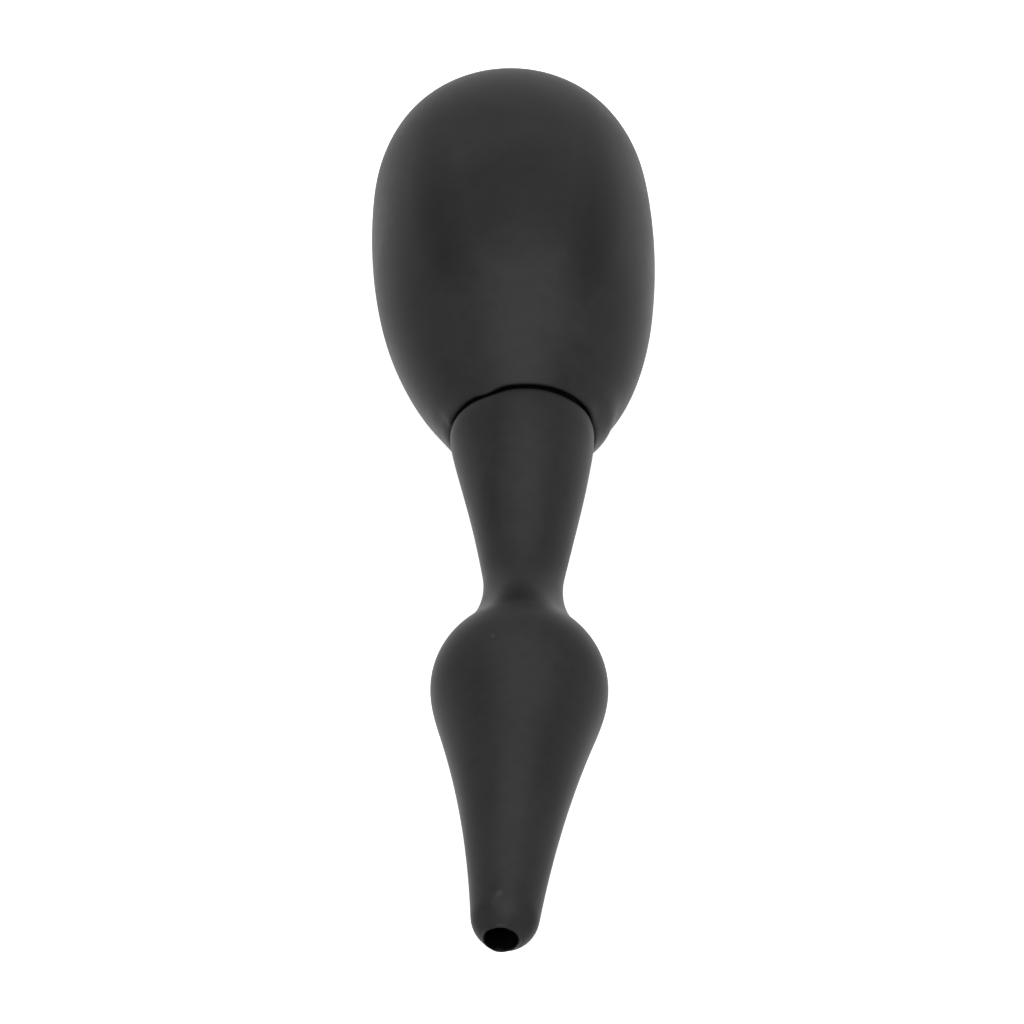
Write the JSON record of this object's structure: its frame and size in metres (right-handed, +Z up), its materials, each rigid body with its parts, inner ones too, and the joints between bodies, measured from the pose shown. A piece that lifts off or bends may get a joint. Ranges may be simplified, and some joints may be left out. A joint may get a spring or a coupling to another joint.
{
  "type": "squeeze bulb blower",
  "caption": "Soft hollow squeeze bulb that blows air through a long plug-in nozzle with a narrow neck, a flared drop-shaped head and a rounded, open tip.",
  "frame": {"origin": "centre of the round opening at the nozzle's tip", "axes": "+Y along the object's axis from the tip to the bulb's far end, +Z up, X to the side"},
  "size_m": [0.062, 0.2447, 0.062],
  "materials": {
    "bulb_silicone": "matte",
    "nozzle_silicone": "matte"
  },
  "bodies": {
    "bulb": {"bulb": "bulb_silicone"},
    "bulb_end": {"bulb_end": "bulb_silicone"},
    "nozzle": {"nozzle": "nozzle_silicone"},
    "nozzle_head": {"nozzle_head": "nozzle_silicone"}
  },
  "joints": [
    {"name": "bulb_press", "type": "slide", "parent": "bulb", "child": "bulb_end", "axis": [0, -1, 0], "range_m": [0, 0.035], "stiffness_N_per_m": 400},
    {"name": "nozzle_pull", "type": "slide", "parent": "bulb", "child": "nozzle", "axis": [0, -1, 0], "range_m": [0, 0.03]},
    {"name": "neck_flex", "type": "hinge", "parent": "nozzle", "child": "nozzle_head", "pos_m": [0, 0.0961, 0], "axis": [0, 0, 1], "range_deg": [-30, 30], "stiffness_Nm_per_rad": 0.3}
  ]
}
